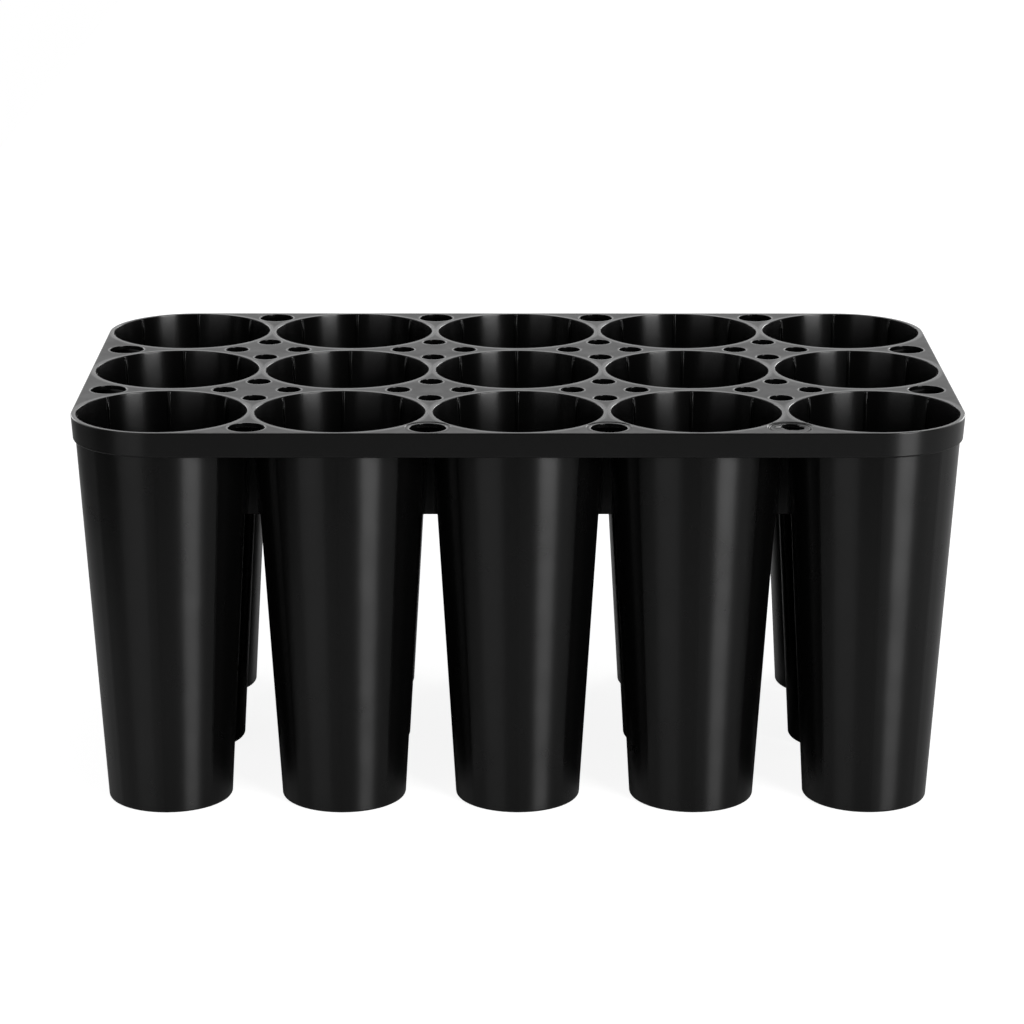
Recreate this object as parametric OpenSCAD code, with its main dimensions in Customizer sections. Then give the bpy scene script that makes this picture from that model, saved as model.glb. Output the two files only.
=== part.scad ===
// Seed starting tray: fifteen deep tapered cells hung from one perforated deck with a skirt round it,
// moulded in one piece. The tray stands on the feet of its cells, at z = 0, centred on the origin.
// The long side runs along X, and the front of the tray faces -Y.

/* [Cells] */
// Number of cells along the tray
columns = 5; // [2:1:7]
// Number of cells across the tray
rows = 3; // [2:1:5]
// Height of the tray, from the feet to the top of the deck
tray_h = 159; // [120:1:200]
// Diameter of a cell's mouth, in the top of the deck
mouth_d = 68; // [56:0.2:84]
// Outer diameter of a cell at its foot
foot_d = 49.8; // [40:0.2:54]
// Wall of a cell
cell_wall = 0.8; // [0.6:0.1:1.4]
// Rounding of the edge round a mouth
mouth_round = 0.3; // [0.1:0.1:0.8]
// Rounding of the edge round a foot
foot_round = 1.0; // [0.5:0.1:1.5]
// Thickness of a cell's floor
floor_t = 1.6; // [1:0.1:3]
// Diameter of the drain hole in a cell's floor
drain_d = 22; // [10:1:34]

/* [Root ribs] */
// Number of upright ribs on the inside of a cell
rib_count = 8; // [4:1:12]
// How far a rib stands out from the wall
rib_depth = 1.0; // [0.5:0.1:2]
// Width of a rib
rib_w = 0.8; // [0.5:0.1:1.5]

/* [Deck] */
// Thickness of the deck
deck_t = 1.8; // [1.2:0.1:3]
// Land between the mouths of neighbours along the tray
land_x = 2.2; // [2:0.1:10]
// Land between the mouths of neighbours across the tray
land_y = 4.4; // [2:0.1:10]
// Land between an outer mouth and the edge of the tray
rim_land = 1.6; // [1.5:0.1:5]
// Rounding of the deck's outer edge
rim_round = 0.5; // [0.2:0.1:1]

/* [Skirt] */
// Height of the skirt, from the top of the deck
skirt_h = 10; // [5:0.5:20]
// Wall of the skirt
skirt_wall = 1.5; // [1.2:0.1:1.7]
// How far the skirt leans in towards its lower edge
skirt_lean = 0.6; // [0:0.1:1]

/* [Webs] */
// Depth of the webs between neighbouring cells, from the top of the deck
web_h = 42; // [15:1:90]
// Thickness of the webs
web_t = 1.4; // [1:0.1:2.5]

/* [Holes in the deck] */
// Diameter of the four vents in each star between four cells
vent_d = 9.6; // [7:0.2:11.4]
// Land between a mouth and the vents that lie to the left and right of a star's middle
vent_land_x = 3.6; // [3.2:0.1:5]
// Land between a mouth and the vents that lie before and behind a star's middle
vent_land_y = 2.7; // [2.6:0.1:5]
// Diameter of the holes along the edges of the tray
edge_hole_d = 14.4; // [8:0.2:17.4]
// How far the holes at the two ends sit in from the middle of the room they have there
end_hole_inset = 0.7; // [0:0.1:1.5]

/* [Mould marks] */
// First of the front holes that has a shallow ring round it, counted from the left
first_ring = 2; // [1:1:4]
// Land between that ring and the mouths
ring_land = 0.3; // [0.2:0.1:1]
// Depth of the ring
ring_depth = 0.2; // [0.1:0.05:0.4]
// The front hole that a torn film still half closes, counted from the left
torn_hole = 4; // [1:1:4]
// Thickness of the torn film
film_t = 0.8; // [0.4:0.1:1.4]

/* [Hidden] */
$fn = 96;

plastic = "#1b1b1c";
over = 1; // how far a cut runs past the face that it opens
bite = 0.5 * cell_wall; // how far a rib or the film runs into the wall that carries it

mouth_r = mouth_d / 2;
foot_r = foot_d / 2;
vent_r = vent_d / 2;
edge_hole_r = edge_hole_d / 2;
pitch_x = mouth_d + land_x;
pitch_y = mouth_d + land_y;
corner_x = (columns - 1) / 2 * pitch_x;
corner_y = (rows - 1) / 2 * pitch_y;
rim_r = mouth_r + rim_land;

// A cell's wall leans out by this much for each millimetre of height
slope = (mouth_r - mouth_round + cell_wall - foot_r) / tray_h;
lean = atan(slope);

// Radius of the outer and the inner face of a cell's wall at height z
function outer_r(z) = foot_r + z * slope;
function inner_r(z) = outer_r(z) - cell_wall;

// Middle of the n-th cell along the tray, and of the n-th cell across it
function cell_x(n) = n * pitch_x - corner_x;
function cell_y(n) = n * pitch_y - corner_y;

// Distance of a vent from the middle of its star: it clears the mouths by a land
function vent_place(along, across, land) =
    along / 2 - sqrt(pow(mouth_r + vent_r + land, 2) - pow(across / 2, 2));
vent_x = vent_place(pitch_x, pitch_y, vent_land_x);
vent_y = vent_place(pitch_y, pitch_x, vent_land_y);

// Distance of an edge hole from the line of the outer cells. Its middle is as far from
// the edge of the tray as it is from the two mouths beside it.
function edge_place(pitch) =
    (pow(mouth_r + rim_r, 2) - pow(pitch / 2, 2)) / (2 * (mouth_r + rim_r));
edge_y = edge_place(pitch_x);
edge_x = edge_place(pitch_y) - end_hole_inset;

// The widest circle that fits between the edge of the tray and two mouths
edge_circle_r = rim_r - edge_y;

// A tray with fewer cells has its marks and its torn film at its last front holes
ring_from = min(first_ring, columns - 1);
torn_at = min(torn_hole, columns - 1);

// Tear in the film, from the middle of the hole, in radii of the hole: the main opening,
// a slit beside it, and the bead of plastic between them
tear = [
    [-0.46, 0.25], [-0.41, 0.69], [-0.33, 0.97], [0.05, 1.02], [0.22, 0.78], [0.53, 0.5],
    [0.76, 0.19], [0.64, -0.17], [0.28, -0.25], [-0.1, -0.15], [-0.36, -0.03]
];
slit = [[-0.92, 0.54], [-0.64, 0.78], [-0.54, 0.72], [-0.61, 0.6], [-0.86, 0.44]];
bead_at = [-0.68, 0.31];
bead_r = 1.5;

// One copy at every cell
module at_cells() {
    for (i = [0 : columns - 1], j = [0 : rows - 1])
        translate([cell_x(i), cell_y(j), 0]) children();
}

// One copy at the middle of every star between four cells
module at_stars() {
    for (i = [0 : columns - 2], j = [0 : rows - 2])
        translate([cell_x(i + 0.5), cell_y(j + 0.5), 0]) children();
}

// One copy at every hole along the four edges
module at_edge_holes() {
    for (i = [0 : columns - 2], side = [-1, 1])
        translate([cell_x(i + 0.5), side * (corner_y + edge_y), 0]) children();
    for (j = [0 : rows - 2], side = [-1, 1])
        translate([side * (corner_x + edge_x), cell_y(j + 0.5), 0]) children();
}

// One copy at the n-th front hole
module at_front_hole(n) {
    translate([cell_x(n - 0.5), -corner_y - edge_y, 0]) children();
}

// Rounded rectangle round the outer cells, at a given reach from their middles
module footprint(reach) {
    square([2 * corner_x, 2 * (corner_y + reach)], center = true);
    square([2 * (corner_x + reach), 2 * corner_y], center = true);
    for (x = [-corner_x, corner_x], y = [-corner_y, corner_y])
        translate([x, y]) circle(reach);
}

// A profile, drawn as reach and height, carried round the tray
module round_the_edge() {
    for (quarter = [0 : 3]) {
        x = (quarter == 0 || quarter == 3 ? 1 : -1) * corner_x;
        y = (quarter < 2 ? 1 : -1) * corner_y;
        translate([x, y, 0]) rotate([0, 0, 90 * quarter]) rotate_extrude(angle = 90) children();
    }
    for (side = [0, 180]) rotate([0, 0, side]) {
        translate([corner_x, corner_y, 0]) rotate([90, 0, 0])
            linear_extrude(2 * corner_y) children();
        translate([-corner_x, corner_y, 0]) rotate([90, 0, 90])
            linear_extrude(2 * corner_x) children();
    }
}

// Section through the skirt and the rounded edge of the deck
module skirt_profile() {
    top = tray_h - rim_round;
    foot = tray_h - skirt_h;
    polygon([
        [rim_r - skirt_wall, tray_h], [rim_r - rim_round, tray_h], [rim_r - rim_round, top],
        [rim_r, top], [rim_r - skirt_lean, foot], [rim_r - skirt_lean - skirt_wall, foot]
    ]);
    translate([rim_r - rim_round, top]) circle(rim_round);
}

module skirt() {
    round_the_edge() skirt_profile();
}

module deck() {
    translate([0, 0, tray_h - deck_t]) linear_extrude(deck_t)
        footprint(rim_r - skirt_wall / 2 - skirt_lean);
}

// Outer form of a cell, solid, with a rounded foot
module cell_form() {
    centre_r = outer_r(foot_round) - foot_round / cos(lean);
    rotate_extrude() {
        polygon([
            [0, 0], [centre_r, 0], [centre_r, foot_round],
            [centre_r + foot_round * cos(lean), foot_round * (1 - sin(lean))],
            [outer_r(tray_h - deck_t / 2), tray_h - deck_t / 2], [0, tray_h - deck_t / 2]
        ]);
        intersection() {
            translate([centre_r, foot_round]) circle(foot_round);
            square([foot_r + foot_round, foot_round]);
        }
    }
}

// Inside of a cell: the tapered bore, its rounded mouth and the drain in its floor
module cell_inside() {
    lip_z = tray_h - mouth_round;
    lip_r = inner_r(lip_z) + mouth_round;
    rotate_extrude() {
        polygon([
            [0, floor_t], [inner_r(floor_t), floor_t], [inner_r(lip_z), lip_z],
            [inner_r(lip_z), tray_h + over], [0, tray_h + over]
        ]);
        difference() {
            translate([inner_r(lip_z) - over, lip_z]) square([mouth_round + over, mouth_round + over]);
            translate([lip_r, lip_z]) circle(mouth_round);
        }
    }
    translate([0, 0, -over]) cylinder(d = drain_d, h = floor_t + 2 * over);
}

// Upright ribs down the wall of a cell, which lead the roots to the drain
module cell_ribs() {
    top = tray_h - mouth_round;
    foot = floor_t / 2;
    for (n = [0 : rib_count - 1])
        rotate([90, 0, 360 / rib_count * n]) linear_extrude(rib_w, center = true)
            polygon([
                [inner_r(foot) + bite, foot], [inner_r(top) + bite, top], [inner_r(top), top],
                [inner_r(top) - rib_depth, top - 2 * rib_depth], [inner_r(foot) - rib_depth, foot]
            ]);
}

// Webs under the deck, which tie each cell to its neighbours
module webs() {
    foot = tray_h - web_h;
    height = web_h - deck_t / 2;
    for (j = [0 : rows - 1])
        translate([-corner_x, cell_y(j) - web_t / 2, foot]) cube([2 * corner_x, web_t, height]);
    for (i = [0 : columns - 1])
        translate([cell_x(i) - web_t / 2, -corner_y, foot]) cube([web_t, 2 * corner_y, height]);
}

module deck_holes() {
    drill = deck_t + 2 * over;
    at_stars() for (place = [[vent_x, 0], [-vent_x, 0], [0, vent_y], [0, -vent_y]])
        translate([place.x, place.y, tray_h - deck_t - over]) cylinder(r = vent_r, h = drill);
    at_edge_holes()
        translate([0, 0, tray_h - deck_t - over]) cylinder(r = edge_hole_r, h = drill);
}

// Shallow rings that the mould has left round the front holes. The one round the torn
// film has a second step inside it.
module ring_marks() {
    for (n = [ring_from : columns - 1]) at_front_hole(n)
        translate([0, 0, tray_h - ring_depth])
            cylinder(r = edge_circle_r - ring_land, h = ring_depth + over);
    at_front_hole(torn_at) translate([0, 0, tray_h - 2 * ring_depth])
        cylinder(r = edge_circle_r - 3 * ring_land, h = 2 * ring_depth + over);
}

// Film of plastic left in one front hole, torn open towards its far side
module torn_film() {
    top = tray_h - 2 * ring_depth;
    at_front_hole(torn_at) {
        difference() {
            translate([0, 0, top - film_t]) cylinder(r = edge_hole_r + bite, h = film_t);
            translate([0, 0, top - film_t - over]) linear_extrude(film_t + 2 * over) {
                polygon(edge_hole_r * tear);
                polygon(edge_hole_r * slit);
            }
        }
        translate([edge_hole_r * bead_at.x, edge_hole_r * bead_at.y, tray_h - bead_r])
            sphere(bead_r);
    }
}

module tray() {
    color(plastic) {
        difference() {
            union() {
                deck();
                skirt();
                webs();
                at_cells() cell_form();
            }
            at_cells() cell_inside();
            deck_holes();
            ring_marks();
        }
        at_cells() cell_ribs();
        torn_film();
    }
}

tray();
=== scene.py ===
# %% [markdown]
# # Seed starting tray
# The object is one piece of black polypropylene, moulded in a single shot: fifteen deep tapered
# cells hang from a flat perforated deck with a short skirt round it. A cell grows one tree
# seedling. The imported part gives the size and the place, and this script gives the looks.

import bmesh
import bpy
import numpy as np
from mathutils import Euler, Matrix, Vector
from mathutils.geometry import delaunay_2d_cdt


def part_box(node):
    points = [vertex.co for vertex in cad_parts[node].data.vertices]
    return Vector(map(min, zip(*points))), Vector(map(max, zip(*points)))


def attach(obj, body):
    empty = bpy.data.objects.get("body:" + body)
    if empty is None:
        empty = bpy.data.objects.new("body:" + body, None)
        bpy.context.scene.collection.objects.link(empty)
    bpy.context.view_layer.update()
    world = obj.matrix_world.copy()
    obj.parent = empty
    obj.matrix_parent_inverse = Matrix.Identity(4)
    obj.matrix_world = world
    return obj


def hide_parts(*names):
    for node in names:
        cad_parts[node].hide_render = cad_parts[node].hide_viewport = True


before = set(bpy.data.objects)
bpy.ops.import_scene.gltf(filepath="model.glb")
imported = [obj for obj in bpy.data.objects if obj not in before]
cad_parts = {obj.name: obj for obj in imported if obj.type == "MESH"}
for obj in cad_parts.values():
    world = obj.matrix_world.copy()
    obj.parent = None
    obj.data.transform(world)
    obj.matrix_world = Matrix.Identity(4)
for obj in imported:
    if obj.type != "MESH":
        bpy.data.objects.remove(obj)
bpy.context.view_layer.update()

# %% [markdown]
# Everything below is thought out in millimetres, as a mould maker would, and turned to metres
# once, when a mesh is made. The overall size is read from the part's own box, so that the
# surfaces stay inside it. The pitch of the cells follows from that box and the rim.

# %% Sizes of the tray, in millimetres
MM = 0.001
low, high = (np.array(corner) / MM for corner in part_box("tray"))
height = high[2]
columns, rows = 5, 3

rim_r = 35.6  # from the axis of an outer cell to the edge of the tray
mouth_r = 34.0
foot_r = 24.9
wall = 0.8
mouth_round = 0.3
deck_t = 1.8
floor_t = 1.6

pitch_x, pitch_y = (high[:2] - low[:2] - 2 * rim_r) / (columns - 1, rows - 1)
cell_x = (np.arange(columns) - (columns - 1) / 2) * pitch_x
cell_y = (np.arange(rows) - (rows - 1) / 2) * pitch_y
corner_x, corner_y = cell_x[-1], cell_y[-1]
print(f"pitch {pitch_x:.1f} x {pitch_y:.1f} mm, height {height:.1f} mm")

# %% [markdown]
# Every moulded edge is a little round, because a mould can't be cut or released sharp, and those
# narrow rounds are what draws thin bright lines in a black part. So no edge here is left sharp.
# A profile is a list of points in two coordinates: the distance from an axis or from the line of
# the outer cells, and the height. Walking along it, the air is always on the right.

# %% Helpers for profiles
def arc(middle, radius, start, end, steps=4):
    """Points on a circle round middle, from the angle start to end, in degrees."""
    angle = np.radians(np.linspace(start, end, steps + 1))
    return np.column_stack([middle[0] + radius * np.cos(angle), middle[1] + radius * np.sin(angle)])


def outer_r(z):
    """Radius of a cell's outer wall at height z: it grows evenly from the foot to the deck."""
    return foot_r + (mouth_r - mouth_round + wall - foot_r) * np.asarray(z) / height


def inner_r(z):
    """Radius of a cell's inner wall at height z."""
    return outer_r(z) - wall


# %% [markdown]
# A surface is a grid of points, and its faces join neighbours. All patches go into one list, and
# one mesh is made of them at the end: their edges meet point on point, so that the moulding
# closes when doubles are merged. Each patch has its finish, because a mould is not the same all
# over: its flat plates are ground to a satin, its cores and cavities are turned and polished, and
# the slot for the skirt is milled.

# %% Helpers for surfaces
# Beside its roughness, a finish carries a base colour. The satin deck and the skirt are painted lighter
# than the plastic's black, as painted light, and the core side is painted darker, as painted shade.
SATIN_PAINTED_LIGHTER, CORE_PAINTED_DARKER, CAVITY, SKIRT_PAINTED_LIGHTER, GLOSS = range(5)  # the order of the moulding's materials
patches = []


def add_patch(points, faces, finish):
    """Adds points and faces to the moulding, with one finish or one for each face."""
    patches.append((points, faces, np.broadcast_to(finish, len(faces))))


def add_grid(points, finish):
    """Adds a grid of points, rows by columns by three, that closes on itself along its columns."""
    n_rows, n_columns = points.shape[:2]
    index = np.arange(n_rows * n_columns).reshape(n_rows, n_columns)
    following = np.roll(index, -1, axis=1)
    faces = np.stack([index[:-1], following[:-1], following[1:], index[1:]], axis=-1)
    finish = np.repeat(np.broadcast_to(finish, n_rows - 1), n_columns)
    add_patch(points.reshape(-1, 3), faces.reshape(-1, 4), finish)


def turn(radius, z, angle):
    """Points on circles round the z axis: x and y are the radius times the angle's cosine and sine."""
    radius, z, angle = np.broadcast_arrays(radius, z, angle)
    return np.stack([radius * np.cos(angle), radius * np.sin(angle), z], axis=-1)


# %% [markdown]
# **Cells.** Each cell is a cup that tapers to its foot, and eight thin upright ribs down its wall
# lead the roots to the drain. It could be a spun profile with ribs added by booleans, but then the
# ribs would meet the wall in sharp seams. Here the cup is one function of two parameters, and a
# rib is a swelling of that function: the radius is the wall's radius less the rib's section.
# Just under the mouth a rib grows slowly out of the wall, and that slope catches the light.

# %% Section of a cell
rib_rise = 6.0  # depth under the deck's top at which a rib is full grown
drain_r = 11.0
small_round = 0.3
foot_round = 1.0
floor_round = 2.0

lip_z = height - mouth_round
slope = float(outer_r(1) - outer_r(0))
lean = np.degrees(np.arctan(slope))
foot_middle = foot_r + foot_round * slope - foot_round / np.cos(np.radians(lean))
floor_wall = inner_r(floor_t + floor_round)

inner_z = height - np.array([1.2, 2.4, 3.6, 4.8, rib_rise, 12, 60, 120])
outer_z = np.array([3, 50, 110, height - deck_t - 2, height - deck_t])
inside = np.vstack([
    arc((inner_r(lip_z) + mouth_round, lip_z), mouth_round, 90, 180),
    np.column_stack([inner_r(inner_z), inner_z]),
    arc((floor_wall - floor_round, floor_t + floor_round), floor_round, 0, -90),
])
drain = np.vstack([
    arc((drain_r + small_round, floor_t - small_round), small_round, 90, 180, 3),
    arc((drain_r + small_round, small_round), small_round, 180, 270, 3),
])
outside = np.vstack([
    arc((foot_middle, foot_round), foot_round, -90, -lean),
    np.column_stack([outer_r(outer_z), outer_z]),
])
section = np.vstack([inside, drain, outside])

# The core forms everything down to the middle of the drain, and the cavity forms the rest.
from_core = len(inside) + len(drain) // 2
finish_down = np.repeat([CORE_PAINTED_DARKER, CAVITY], [from_core, len(section) - 1 - from_core])
print(len(section), "points in the section of a cell")

# %% Section of a rib: distance from its middle, and how much of its depth has grown there
rib_count = 8
rib_depth = 1.0
rib_section = np.array([
    [-0.6, 0.0], [-0.46, 0.06], [-0.41, 0.93], [-0.37, 0.985], [-0.31, 1.0],
    [0.31, 1.0], [0.37, 0.985], [0.41, 0.93], [0.46, 0.06], [0.6, 0.0],
])
steps_between_ribs = 7

# Down the section, a rib grows by a parabola: one less the square of the way still to go. It
# ends where the wall meets the floor.
rib_growth = 1 - np.clip(1 - (lip_z - section[:, 1]) / (rib_rise - mouth_round), 0, 1) ** 2
rib_growth[len(inside) - 1:] = 0
print(rib_count, "ribs", rib_depth, "mm deep")


# %% Shape of a cell
def cell_surface():
    """A cell round the z axis, from its mouth down its inside, through the drain and up its outside.

    Radius: the section's radius less the rib's height. Angle: near a rib, the distance across it
    divided by the radius, so that its width stays the same all the way down; between two ribs,
    even steps.
    """
    radius, z = section[:, :1], section[:, 1:]
    sector = 2 * np.pi / rib_count
    across, grown = rib_section.T
    half = across[-1] / radius
    between = np.linspace(0, 1, steps_between_ribs + 1)[1:-1]
    angle = np.hstack([across / radius, half + between * (sector - 2 * half)])
    rib = np.hstack([grown, np.zeros(len(between))]) * rib_growth[:, None] * rib_depth
    starts = np.repeat(np.arange(rib_count) * sector, angle.shape[1])
    return turn(radius - np.tile(rib, rib_count), z, np.tile(angle, rib_count) + starts)


cell = cell_surface()
for x in cell_x:
    for y in cell_y:
        add_grid(cell + (x, y, 0), finish_down)
mouth = cell[0, :, :2]
neck = cell[-1, :, :2]
print(len(cell_x) * len(cell_y), "cells of", cell.shape[0] * cell.shape[1], "points")

# %% [markdown]
# **Deck.** Between every four cells lies a star with four vents, and twelve larger holes run along
# the edges. Inserts in the mould have left shallow rings round three of the front holes. A hole is
# a short spun profile with a narrow polished land at its rim, and the flat faces are triangulated
# between all the circles.

# %% Places of the holes
vent_r = 4.8
edge_hole_r = 7.2
vent_land_x, vent_land_y = 3.6, 2.7
end_hole_inset = 0.7


def vent_place(along, across, land):
    """Distance of a vent from the middle of its star, so that it clears the mouths by a land."""
    reach = mouth_r + vent_r + land
    return along / 2 - np.sqrt(reach ** 2 - (across / 2) ** 2)


def edge_place(pitch):
    """Distance from the outer cells' line to a hole as far from the edge as from two mouths."""
    both = mouth_r + rim_r
    return (both ** 2 - (pitch / 2) ** 2) / (2 * both)


vent_x = vent_place(pitch_x, pitch_y, vent_land_x)
vent_y = vent_place(pitch_y, pitch_x, vent_land_y)
edge_y = edge_place(pitch_x)
edge_x = edge_place(pitch_y) - end_hole_inset

star_x = (cell_x[1:] + cell_x[:-1]) / 2
star_y = (cell_y[1:] + cell_y[:-1]) / 2
vents = [
    (x + dx, y + dy)
    for x in star_x for y in star_y
    for dx, dy in ((vent_x, 0), (-vent_x, 0), (0, vent_y), (0, -vent_y))
]
front_holes = [(x, -corner_y - edge_y) for x in star_x]
other_edge_holes = [(x, corner_y + edge_y) for x in star_x]
other_edge_holes += [(side * (corner_x + edge_x), y) for side in (-1, 1) for y in star_y]
print(len(vents), "vents,", len(front_holes) + len(other_edge_holes), "edge holes")

# %% Sections of the holes
hole_round = 0.2
hole_land = 0.5
ring_depth = 0.2
groove_r = 0.35
ring_r, inner_ring_r = 8.8, 7.9


def bore(radius, top):
    """Section of a hole through the deck, rounded at both ends, with a narrow land round it."""
    lower = height - deck_t
    return np.vstack([
        [[radius + hole_round + hole_land, top]],
        arc((radius + hole_round, top - hole_round), hole_round, 90, 180, 3),
        arc((radius + hole_round, lower + hole_round), hole_round, 180, 270, 3),
    ])


def ring_groove(radius, top):
    """Section of the round groove that a mould insert leaves, with a floor a ring's depth lower."""
    past = np.degrees(np.arcsin(ring_depth / groove_r))
    return arc((radius, top), groove_r, 0, past - 180, 6)


plain_hole = bore(edge_hole_r, height)
ringed_hole = np.vstack([ring_groove(ring_r, height), bore(edge_hole_r, height - ring_depth)])
torn_hole = np.vstack([
    ring_groove(ring_r, height),
    ring_groove(inner_ring_r, height - ring_depth),
    bore(edge_hole_r, height - 2 * ring_depth),
])
print(len(plain_hole), len(ringed_hole), len(torn_hole), "points in the sections of the edge holes")

# %% Shape of the holes
vent_steps, edge_hole_steps = 40, 56
top_rings, lower_rings = [], []


def add_hole(place, profile, steps):
    """Spins a hole's section round its place, and keeps its two end circles for the flat faces."""
    angle = np.arange(steps) / steps * 2 * np.pi
    points = turn(profile[:, :1], profile[:, 1:], angle) + (*place, 0)
    past_land = profile[1:, 0] > profile[:, 0].min() + 2 * hole_round
    add_grid(points, np.where(past_land, SATIN_PAINTED_LIGHTER, GLOSS))
    top_rings.append(points[0, :, :2])
    lower_rings.append(points[-1, :, :2])


for place in vents:
    add_hole(place, bore(vent_r, height), vent_steps)
for place in other_edge_holes + front_holes[:1]:
    add_hole(place, plain_hole, edge_hole_steps)
for place in front_holes[1:-1]:
    add_hole(place, ringed_hole, edge_hole_steps)
add_hole(front_holes[-1], torn_hole, edge_hole_steps)
for x in cell_x:
    for y in cell_y:
        top_rings.append(mouth + (x, y))
        lower_rings.append(neck + (x, y))
print(len(top_rings), "openings in the deck")

# %% [markdown]
# **Skirt.** A short wall turned down round the deck stiffens it. It leans in a little, because the
# mould has to let go of it. Its section is carried round a rectangle with round corners, whose
# corners share their middles with the corner cells.

# %% Skirt
skirt_h = 10.0
skirt_lean = 0.6
skirt_top_wall = 1.12
skirt_low_wall = 1.5
rim_round = 0.4
skirt_round = 0.7
corner_steps = 20

skirt_foot = height - skirt_h
low_r = rim_r - skirt_lean
skirt_inside = np.vstack([
    [[rim_r - skirt_top_wall, height - deck_t]],
    arc((low_r - skirt_low_wall + small_round, skirt_foot + small_round), small_round, 180, 270, 3),
    arc((low_r - skirt_round, skirt_foot + skirt_round), skirt_round, -90, 0, 5),
])
skirt_rim = arc((rim_r - rim_round, height - rim_round), rim_round, 0, 90)


def round_the_rim(reach):
    """Points on a rounded rectangle: corner middles plus the reach along each corner's quarter."""
    quarter = np.linspace(0, np.pi / 2, corner_steps + 1)
    angle = (np.arange(4)[:, None] * np.pi / 2 + quarter).ravel()
    middle = np.repeat([[1, 1], [-1, 1], [-1, -1], [1, -1]], corner_steps + 1, axis=0)
    return middle * (corner_x, corner_y) + reach * np.column_stack([np.cos(angle), np.sin(angle)])


skirt = np.array([np.column_stack([round_the_rim(r), np.full(4 * (corner_steps + 1), z)])
                  for r, z in np.vstack([skirt_inside, skirt_rim])])
add_grid(skirt, np.repeat([GLOSS, SKIRT_PAINTED_LIGHTER], [len(skirt_inside) - 1, len(skirt_rim)]))
print("skirt of", skirt.shape[0] * skirt.shape[1], "points")


# %% Flat faces of the deck
def add_flat(outline, rings, z, up):
    """Triangulates the area inside the outline and outside the rings, at one height.

    The rings are convex, so a triangle lies inside one if all its corners are on that ring.
    """
    loops = [outline] + rings
    sizes = [len(loop) for loop in loops]
    ends = np.cumsum(sizes)
    edges = [
        (int(a), int(b))
        for start, end in zip(ends - sizes, ends)
        for a, b in zip(range(start, end), np.roll(range(start, end), -1))
    ]
    all_triangles, same_point = 0, 1e-5
    corners = [tuple(point) for point in np.vstack(loops)]
    found = delaunay_2d_cdt(corners, edges, [], all_triangles, same_point)
    flat, faces = np.array(found[0]), np.array(found[2])
    loop_of = np.repeat(range(len(loops)), sizes)[[points[0] for points in found[3]]][faces]
    faces = faces[(loop_of[:, 0] == 0) | (np.ptp(loop_of, axis=1) > 0)]
    a, b, c = (flat[faces[:, n]] for n in range(3))
    area = (b - a)[:, 0] * (c - a)[:, 1] - (b - a)[:, 1] * (c - a)[:, 0]
    turned = (area > 0) != up
    faces[turned] = faces[turned][:, ::-1]
    add_patch(np.column_stack([flat, np.full(len(flat), z)]), faces, SATIN_PAINTED_LIGHTER)


add_flat(skirt[-1, :, :2], top_rings, height, up=True)
add_flat(skirt[0, :, :2], lower_rings, height - deck_t, up=False)
print(len(patches[-2][1]), "faces in the deck's top")

# %% [markdown]
# **Webs.** Flat plates tie neighbouring cells together under the deck. Their straight lower edges
# show between the front cells. Each is a thin plate whose ends are buried in the two walls.

# %% Webs
web_h = 42.0
web_t = 1.4
buried = 0.5

web_foot = height - web_h
web_section = np.vstack([
    [[-web_t / 2, height - deck_t + buried]],
    arc((small_round - web_t / 2, web_foot + small_round), small_round, 180, 270, 3),
    arc((web_t / 2 - small_round, web_foot + small_round), small_round, -90, 0, 3),
    [[web_t / 2, height - deck_t + buried]],
])


def add_web(middle, pitch, along_x):
    """A plate between two cells: at each height it ends a little inside the cells' walls."""
    across, z = web_section.T
    half = pitch / 2 - outer_r(z) + buried
    ends = np.stack([-half, half])
    across, z = np.broadcast_to(across, ends.shape), np.broadcast_to(z, ends.shape)
    points = np.stack([ends, across, z] if along_x else [-across, ends, z], axis=-1) + (*middle, 0)
    add_grid(points, GLOSS)
    around = np.arange(len(web_section))[None]
    add_patch(points[0], around[:, ::-1], GLOSS)
    add_patch(points[1], around, GLOSS)


for x in star_x:
    for y in cell_y:
        add_web((x, y), pitch_x, True)
for x in cell_x:
    for y in star_y:
        add_web((x, y), pitch_y, False)
print(len(star_x) * len(cell_y) + len(cell_x) * len(star_y), "webs")

# %% [markdown]
# **Torn film.** Plastic that crept between the two halves of the mould half closes the last front
# hole, and it is torn open towards the far side. It is a ring from the ragged tear to the rim of
# the hole: a function of the angle round the tear and of the way from the tear to the rim. One
# bit of the torn edge has curled up beside the tear, and its bright top is what the eye finds.

# %% Film
film_t = 0.7
film_sag = 0.35
film_thinning = 0.75  # share of its thickness that the film loses towards its torn edge
narrowest = 0.3
film_steps = 96
tear_middle = np.array([0.9, 2.4])
tear_angle = np.radians([0, 25, 50, 72, 90, 110, 128, 150, 178, 205, 235, 262, 290, 320, 345])
tear_reach = np.array([4.6, 3.7, 3.9, 5.2, 5.6, 5.5, 5.3, 4.7, 4.1, 3.6, 4.0, 3.9, 4.2, 4.6, 4.9])


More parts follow.
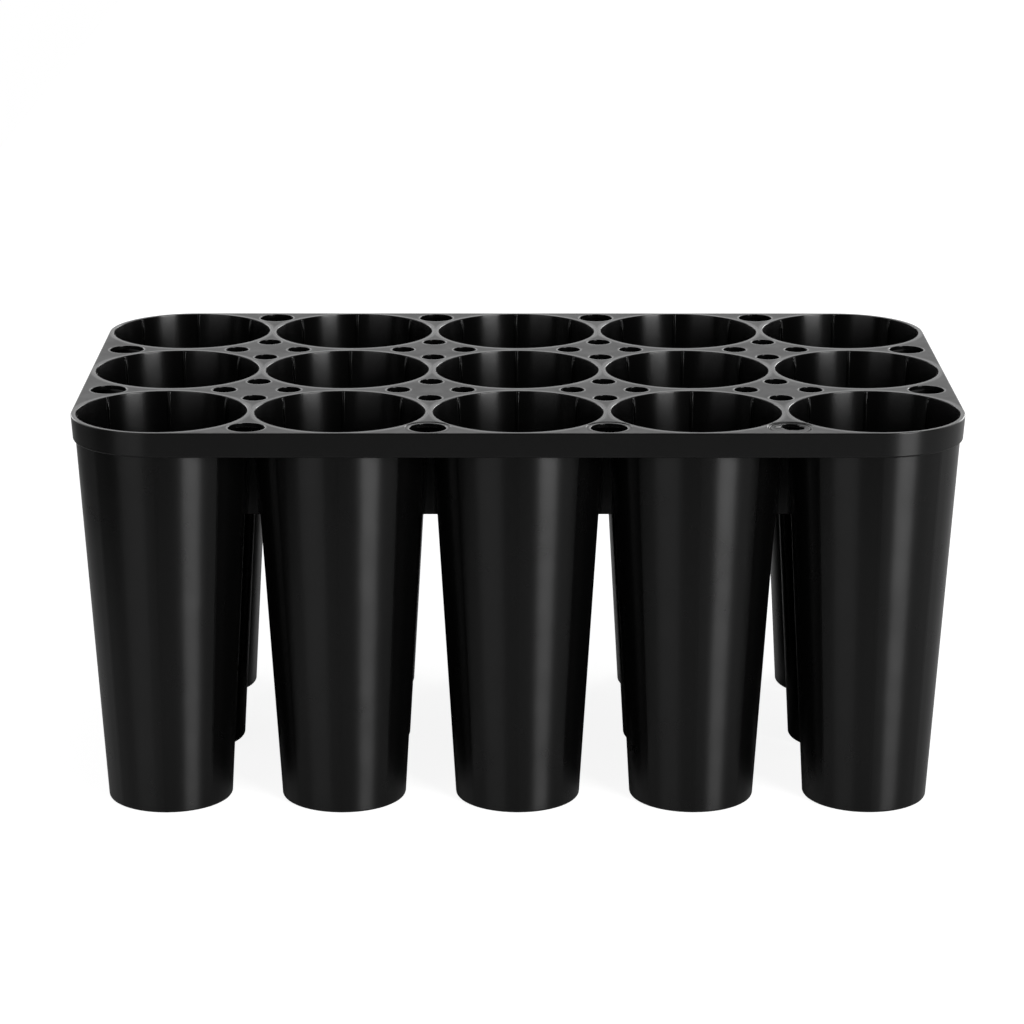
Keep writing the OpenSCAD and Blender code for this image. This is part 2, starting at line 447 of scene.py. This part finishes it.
def film_surface():
    """Top and underside of the film, from the rim of the hole in to the tear and back.

    Both run along straight lines from the tear's middle. The tear's edge is ragged by two small
    waves. The film thins and sags towards it, by the square of the share of the way.
    """
    angle = np.linspace(0, 2 * np.pi, film_steps, endpoint=False)
    tear = np.interp(angle, tear_angle, tear_reach, period=2 * np.pi)
    tear += 0.18 * np.sin(9 * angle) + 0.12 * np.sin(17 * angle + 1)
    way = np.column_stack([np.cos(angle), np.sin(angle)])
    along = way @ tear_middle
    seat = edge_hole_r + buried
    rim = -along + np.sqrt(along ** 2 + seat ** 2 - tear_middle @ tear_middle)
    tear = np.minimum(tear, rim - narrowest)
    share = np.array([0, 0.08, 0.3, 0.55, 0.8, 0.95, 1])[:, None]
    reach = rim + share * (tear - rim)
    top = height - 2 * ring_depth - film_sag * share ** 2
    under = top - film_t * (1 - film_thinning * share ** 2)
    place = tear_middle + reach[..., None] * way
    upper = np.dstack([place, np.broadcast_to(top, reach.shape)])
    lower = np.dstack([place, np.broadcast_to(under, reach.shape)])
    return np.concatenate([upper, lower[::-1], upper[:1]])


add_grid(film_surface() + (*front_holes[-1], 0), SATIN_PAINTED_LIGHTER)
print("film of", len(patches[-1][0]), "points")

# %% Curled bit of the film
bead_half = np.array([1.6, 0.4, 0.6])
bead_turn = np.radians([-14, 0, 20])
bead_place = np.array([-4.7, 2.6, height - 0.75])
bead_power = 0.4


def flattened(wave):
    """A wave flattened at its crests: its size to a power below one, with its sign."""
    return np.sign(wave) * np.abs(wave) ** bead_power


def bead_surface():
    """A pillow with flat sides, turned to one side and leaning back.

    It is a sphere whose sines and cosines are flattened, scaled by three half sizes.
    """
    round_it = np.linspace(0, 2 * np.pi, 32, endpoint=False)
    up_it = np.linspace(-np.pi / 2, np.pi / 2, 15)[:, None]
    shape = np.dstack([
        flattened(np.cos(up_it)) * flattened(np.cos(round_it)),
        flattened(np.cos(up_it)) * flattened(np.sin(round_it)),
        flattened(np.sin(up_it)) + 0 * round_it,
    ])
    return shape * bead_half @ np.array(Euler(bead_turn).to_matrix()).T + bead_place


bead = bead_surface() + (*front_holes[-1], 0)
add_grid(bead, GLOSS)
print(f"curled bit up to {bead[..., 2].max():.2f} mm")

# %% [markdown]
# **One moulding.** The patches become one mesh, and points that lie on each other are merged. The
# volume under its faces is measured as a test: it comes out positive only if they face outwards.

# %% Make the moulding
same_place = 0.002


def make_mesh(name, parts):
    """One mesh object, in metres, from a list of points and faces in millimetres."""
    points, faces, finishes = zip(*parts)
    starts = np.cumsum([0] + [len(group) for group in points[:-1]])
    joined = [face for group, start in zip(faces, starts) for face in (group + start).tolist()]
    mesh = bpy.data.meshes.new(name)
    mesh.from_pydata((np.vstack(points) * MM).tolist(), [], joined)
    mesh.polygons.foreach_set("material_index", np.concatenate(finishes).astype(np.int32))
    work = bmesh.new()
    work.from_mesh(mesh)
    bmesh.ops.remove_doubles(work, verts=work.verts, dist=same_place * MM)
    open_edges = sum(1 for edge in work.edges if len(edge.link_faces) != 2)
    volume = work.calc_volume(signed=True) / MM ** 3
    work.to_mesh(mesh)
    work.free()
    mesh.shade_smooth()
    piece = bpy.data.objects.new(name, mesh)
    bpy.context.scene.collection.objects.link(piece)
    triangles = sum(len(face.vertices) - 2 for face in mesh.polygons)
    print(f"{name}: {triangles} triangles, {open_edges} open edges, {volume / 1000:.0f} cm3")
    return piece


moulding = make_mesh("tray_moulding", patches)

# %% [markdown]
# The Weighted Normal modifier lets the large faces rule the shading, so that flats look flat and
# the narrow rounds carry the whole turn.

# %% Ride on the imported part
weighted = moulding.modifiers.new("Weighted normals", "WEIGHTED_NORMAL")
weighted.weight = 100
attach(moulding, "root")
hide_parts("tray")
print(moulding.name, "stands for the packed tray")

# %% [markdown]
# **Polypropylene.** Black polypropylene straight from the mould: carbon black in the plastic, an
# index of refraction of 1.49, and no coating. All patterns read Object coordinates, in metres, and
# their scales come from real sizes.

# %% Helpers for materials
noise_low, noise_high = 0.3, 0.7  # a noise texture stays between these nearly everywhere


def srgb(code):
    """Linear colour from an sRGB hex code, by the standard curve."""
    part = np.array([int(code[n:n + 2], 16) for n in (1, 3, 5)]) / 255
    linear = np.where(part <= 0.04045, part / 12.92, ((part + 0.055) / 1.055) ** 2.4)
    return (*linear, 1.0)


def add_node(tree, kind, settings=None, links=None, **inputs):
    """Adds a node, sets its attributes and inputs, and links its inputs from other outputs."""
    node = tree.nodes.new(kind)
    for name, value in (settings or {}).items():
        setattr(node, name, value)
    for name, value in inputs.items():
        node.inputs[name.replace("_", " ")].default_value = value
    for name, source in (links or {}).items():
        tree.links.new(source, node.inputs[name])
    return node


def new_material(name):
    """An empty node material."""
    material = bpy.data.materials.new(name)
    material.use_nodes = True
    material.node_tree.nodes.clear()
    return material, material.node_tree


# %% [markdown]
# ** Satin deck.** The mould's flat plate was left satin, with a fine grain. Its base colour is
# painted a lighter grey than the rest of the plastic. That is painted light, which greys the deck
# beside the grey it reflects. The lands round the mouths were faced by the lathe that turned the
# cells' cores, so they are smoother and shine brighter. How far a point lies from the nearest cell's
# axis is folded out of its coordinates by the Ping-Pong node, once for each direction, because the
# cells stand at even pitches.

# %% Satin deck
def satin_deck_painted_lighter():
    """Satin plastic, smoother within a narrow land round each mouth, with its base colour painted lighter
    as painted light.
    """
    material, tree = new_material("polypropylene, satin deck painted lighter")
    place = add_node(tree, "ShaderNodeTexCoord").outputs["Object"]
    xyz = add_node(tree, "ShaderNodeSeparateXYZ", links={0: place}).outputs
    folded = []
    for n, pitch in enumerate((pitch_x, pitch_y)):
        fold = add_node(tree, "ShaderNodeMath", {"operation": "PINGPONG"}, {0: xyz[n]})
        fold.inputs[1].default_value = pitch / 2 * MM
        folded.append(fold.outputs[0])
    from_axis = add_node(tree, "ShaderNodeCombineXYZ", links={0: folded[0], 1: folded[1]})
    reach = add_node(tree, "ShaderNodeVectorMath", {"operation": "LENGTH"}, {0: from_axis.outputs[0]})

    land_from, land_to = 0.5, 2.5
    land_rough, plate_rough, rough_spread = 0.22, 0.43, 0.04
    faced = add_node(tree, "ShaderNodeMapRange", links={"Value": reach.outputs["Value"]},
                     From_Min=(mouth_r + land_from) * MM, From_Max=(mouth_r + land_to) * MM,
                     To_Min=land_rough, To_Max=plate_rough).outputs[0]
    cloud_size, cloud_depth = 9.0, 0.05
    cloud = add_node(tree, "ShaderNodeTexNoise", links={"Vector": place},
                     Scale=1 / (cloud_size * MM), Detail=4.0, Roughness=0.6)
    spread = add_node(tree, "ShaderNodeMapRange", links={"Value": cloud.outputs[0]},
                      From_Min=noise_low, From_Max=noise_high,
                      To_Min=-rough_spread, To_Max=rough_spread).outputs[0]
    rough = add_node(tree, "ShaderNodeMath", {"operation": "ADD"}, {0: faced, 1: spread})

    # The real grain is about a tenth of this size. It is drawn as coarse as it needs to show.
    grain_size, grain_depth = 0.5, 0.02
    grain = add_node(tree, "ShaderNodeTexNoise", links={"Vector": place},
                     Scale=1 / (grain_size * MM), Detail=2.0, Roughness=0.5)
    waves = add_node(tree, "ShaderNodeBump", links={"Height": cloud.outputs[0]},
                     Strength=0.5, Distance=cloud_depth * MM)
    satin = add_node(tree, "ShaderNodeBump",
                     links={"Height": grain.outputs[0], "Normal": waves.outputs[0]},
                     Strength=0.5, Distance=grain_depth * MM)
    # The base colour is painted lighter than the plastic's own black: painted light on the deck.
    shader = add_node(tree, "ShaderNodeBsdfPrincipled",
                      links={"Roughness": rough.outputs[0], "Normal": satin.outputs[0]},
                      Base_Color=srgb("#1a1a1a"), IOR=1.49)
    add_node(tree, "ShaderNodeOutputMaterial", links={"Surface": shader.outputs[0]})
    return material


# %% [markdown]
# **Turned and milled walls.** The cores and the cavities for the cells are turned on a lathe and
# polished, and the slot for the skirt is milled. The fine lines left in the steel spread a
# reflection up and down but hardly sideways. That is an anisotropic gloss, stretched along an
# upright tangent. The rest of the moulding is polished plainly, with the same gloss both ways.

# %% Turned, milled and polished walls
def gloss_wall(name, color, roughness, anisotropic):
    """Gloss plastic, whose reflections are upright streaks where it is anisotropic."""
    material, tree = new_material(name)
    place = add_node(tree, "ShaderNodeTexCoord").outputs["Object"]
    upwards = add_node(tree, "ShaderNodeCombineXYZ", Z=1.0)

    # Long faint lines, drawn as the part slides out of the mould. The real ones are some tenths
    # of a millimetre wide. They are drawn as coarse as they need to show.
    draw_width, draw_length, draw_depth = 1.6, 60.0, 0.008
    stretched = add_node(tree, "ShaderNodeMapping", links={"Vector": place},
                         Scale=(1, 1, draw_width / draw_length))
    draw = add_node(tree, "ShaderNodeTexNoise", links={"Vector": stretched.outputs[0]},
                    Scale=1 / (draw_width * MM), Detail=2.0, Roughness=0.5)
    lines = add_node(tree, "ShaderNodeBump", links={"Height": draw.outputs[0]},
                     Strength=0.3, Distance=draw_depth * MM)

    cloud_size, cloud_depth = 14.0, 0.06
    cloud = add_node(tree, "ShaderNodeTexNoise", links={"Vector": place},
                     Scale=1 / (cloud_size * MM), Detail=2.0, Roughness=0.5)
    waves = add_node(tree, "ShaderNodeBump",
                     links={"Height": cloud.outputs[0], "Normal": lines.outputs[0]},
                     Strength=0.4, Distance=cloud_depth * MM)
    rough_spread = 0.015
    rough = add_node(tree, "ShaderNodeMapRange", links={"Value": cloud.outputs[0]},
                     From_Min=noise_low, From_Max=noise_high,
                     To_Min=roughness - rough_spread, To_Max=roughness + rough_spread)
    shader = add_node(tree, "ShaderNodeBsdfPrincipled",
                      links={"Roughness": rough.outputs[0], "Normal": waves.outputs[0],
                             "Tangent": upwards.outputs[0]},
                      Base_Color=srgb(color), IOR=1.49, Anisotropic=anisotropic)
    add_node(tree, "ShaderNodeOutputMaterial", links={"Surface": shader.outputs[0]})
    return material


moulding.data.materials.append(satin_deck_painted_lighter())
for finish, color, roughness, anisotropic in (
    # The core side's base colour is painted darker than the cavity side's: painted shade inside the cells.
    ("turned core side painted darker", "#040404", 0.21, 0.75),
    ("turned cavity side", "#050505", 0.286, 0.88),
    # The skirt's base colour is painted lighter than the plastic's own black: painted light on its front.
    ("milled skirt painted lighter", "#0c0c0c", 0.3, 0.86),
    ("plain gloss", "#050505", 0.17, 0.0),
):
    moulding.data.materials.append(gloss_wall(f"polypropylene, {finish}", color, roughness, anisotropic))
print("finishes:", [material.name for material in moulding.data.materials])

# %% [markdown]
# **Studio.** The tray stands on a pale floor in front of a white background. Black gloss plastic
# shows what stands round it more than its own colour: two large soft boxes to the left and right
# of the camera draw the upright bands, and the bright background greys the deck. Two weaker soft
# boxes behind the tray draw such bands on its back.

# %% Floor
table_left, table_right, table_front, table_back = -0.42, 1.5, -0.53, 6.0
table_z = -0.0002


def pale_floor():
    """A pale board that keeps the tray's shadow, and is lifted to white where the camera sees it.

    It is clear from below, so that the cells' floors can be looked at.
    """
    material, tree = new_material("pale studio floor")
    path = add_node(tree, "ShaderNodeLightPath").outputs
    seen = add_node(tree, "ShaderNodeMath", {"operation": "MAXIMUM"},
                    {0: path["Is Camera Ray"], 1: path["Is Transmission Ray"]})
    board = add_node(tree, "ShaderNodeBsdfDiffuse", Color=srgb("#adadad"))
    glow = add_node(tree, "ShaderNodeEmission", links={"Strength": seen.outputs[0]}, Color=srgb("#f3f3f3"))
    both = add_node(tree, "ShaderNodeAddShader", links={0: board.outputs[0], 1: glow.outputs[0]})
    clear = add_node(tree, "ShaderNodeBsdfTransparent")
    under = add_node(tree, "ShaderNodeNewGeometry").outputs["Backfacing"]
    one_sided = add_node(tree, "ShaderNodeMixShader",
                         links={0: under, 1: both.outputs[0], 2: clear.outputs[0]})
    add_node(tree, "ShaderNodeOutputMaterial", links={"Surface": one_sided.outputs[0]})
    return material


table_corners = ((table_left, table_front), (table_right, table_front), (table_right, table_back),
                 (table_left, table_back))
floor_mesh = bpy.data.meshes.new("floor")
floor_mesh.from_pydata([(x, y, table_z) for x, y in table_corners], [], [(0, 1, 2, 3)])
floor = bpy.data.objects.new("floor", floor_mesh)
floor.data.materials.append(pale_floor())
bpy.context.scene.collection.objects.link(floor)
print(f"floor {table_right - table_left:.2f} x {table_back - table_front:.2f} m")


# %% Background
def studio_world():
    """White to the camera. Reflections see a white backdrop behind the tray: it gets dimmer high
    up, and is dark below the horizon and in front of the tray. All else gets a plain grey.
    """
    dark, high_up, plain_grey = 0.02, 0.15, 0.3
    world = bpy.data.worlds.new("studio")
    world.use_nodes = True
    tree = world.node_tree
    tree.nodes.clear()
    path = add_node(tree, "ShaderNodeLightPath").outputs
    direction = add_node(tree, "ShaderNodeTexCoord").outputs["Generated"]
    z = add_node(tree, "ShaderNodeSeparateXYZ", links={0: direction}).outputs["Z"]
    band = add_node(tree, "ShaderNodeMapRange", links={"Value": z},
                    From_Min=0.5, From_Max=0.8, To_Min=1.0, To_Max=high_up).outputs[0]
    y = add_node(tree, "ShaderNodeSeparateXYZ", links={0: direction}).outputs["Y"]
    behind = add_node(tree, "ShaderNodeMapRange", links={"Value": y},
                      From_Min=-0.2, From_Max=0.3, To_Min=dark, To_Max=1.0).outputs[0]
    above = add_node(tree, "ShaderNodeMapRange", links={"Value": z},
                     From_Min=-0.1, From_Max=0.0, To_Min=dark, To_Max=1.0).outputs[0]
    upper = add_node(tree, "ShaderNodeMath", {"operation": "MULTIPLY"}, {0: band, 1: above})
    side = add_node(tree, "ShaderNodeMath", {"operation": "MULTIPLY"}, {0: upper.outputs[0], 1: behind})
    other = add_node(tree, "ShaderNodeMix", {"data_type": "FLOAT"},
                     {0: path["Is Glossy Ray"], 3: side.outputs[0]})
    other.inputs[2].default_value = plain_grey
    direct = add_node(tree, "ShaderNodeMath", {"operation": "MAXIMUM"},
                      {0: path["Is Camera Ray"], 1: path["Is Transmission Ray"]})
    level = add_node(tree, "ShaderNodeMath", {"operation": "MAXIMUM"},
                     {0: direct.outputs[0], 1: other.outputs[0]})
    back = add_node(tree, "ShaderNodeBackground", links={"Strength": level.outputs[0]}, Color=(1, 1, 1, 1))
    add_node(tree, "ShaderNodeOutputWorld", links={"Surface": back.outputs[0]})
    return world


bpy.context.scene.world = studio_world()
print("world:", bpy.context.scene.world.name)


# %% Soft boxes
def soft_box(name, azimuth, elevation, distance, size, radiance):
    """A rectangular lamp that faces the tray. Its power is the radiance times pi times its area."""
    lamp = bpy.data.lights.new(name, "AREA")
    lamp.shape = "RECTANGLE"
    lamp.size, lamp.size_y = size
    lamp.energy = radiance * np.pi * size[0] * size[1]
    box = bpy.data.objects.new(name, lamp)
    turned, raised = np.radians([azimuth, elevation])
    out = np.array([np.sin(turned) * np.cos(raised), -np.cos(turned) * np.cos(raised), np.sin(raised)])
    box.location = out * distance + (0, 0, height / 2 * MM)
    box.rotation_euler = Euler((np.pi / 2 - raised, 0, turned))
    bpy.context.scene.collection.objects.link(box)
    return box


# Angles in degrees, from the front of the tray to its right and up; distances and sizes in metres
for name, azimuth, elevation, distance, size, radiance in (
    ("right soft box", 40, 14.5, 3.0, (1.25, 1.5), 15.0),
    ("left soft box", -39, 10, 3.0, (1.8, 1.0), 2.6),
    ("rear right soft box", 144, 12, 3.0, (1.4, 1.2), 5.0),
    ("rear left soft box", -144, 12, 3.0, (1.4, 1.2), 2.5),
):
    soft_box(name, azimuth, elevation, distance, size, radiance)
print("lamps:", [lamp.name for lamp in bpy.data.lights])

# %% [markdown]
# **Camera.** A long lens a metre and a half in front of the tray, a little above its deck, as the
# studio photograph was taken. No shift and no depth of field. Its place and angles were solved
# from where the mouths, the holes and the cells' outlines lie in that photograph.

# %% Camera
camera_data = bpy.data.cameras.new("camera")
camera_data.sensor_width = 36.0
camera_data.lens = 123.8
camera_data.clip_start = 0.05
camera = bpy.data.objects.new("camera", camera_data)
camera.location = np.array([-7.85, -1418.9, height + 333.9]) * MM
camera.rotation_euler = Euler(np.radians([74.433, -0.061, -0.216]))
bpy.context.scene.collection.objects.link(camera)
bpy.context.scene.camera = camera
bpy.context.scene.view_settings.view_transform = "Standard"
print(f"camera {camera.location.length:.2f} m from the tray's feet")
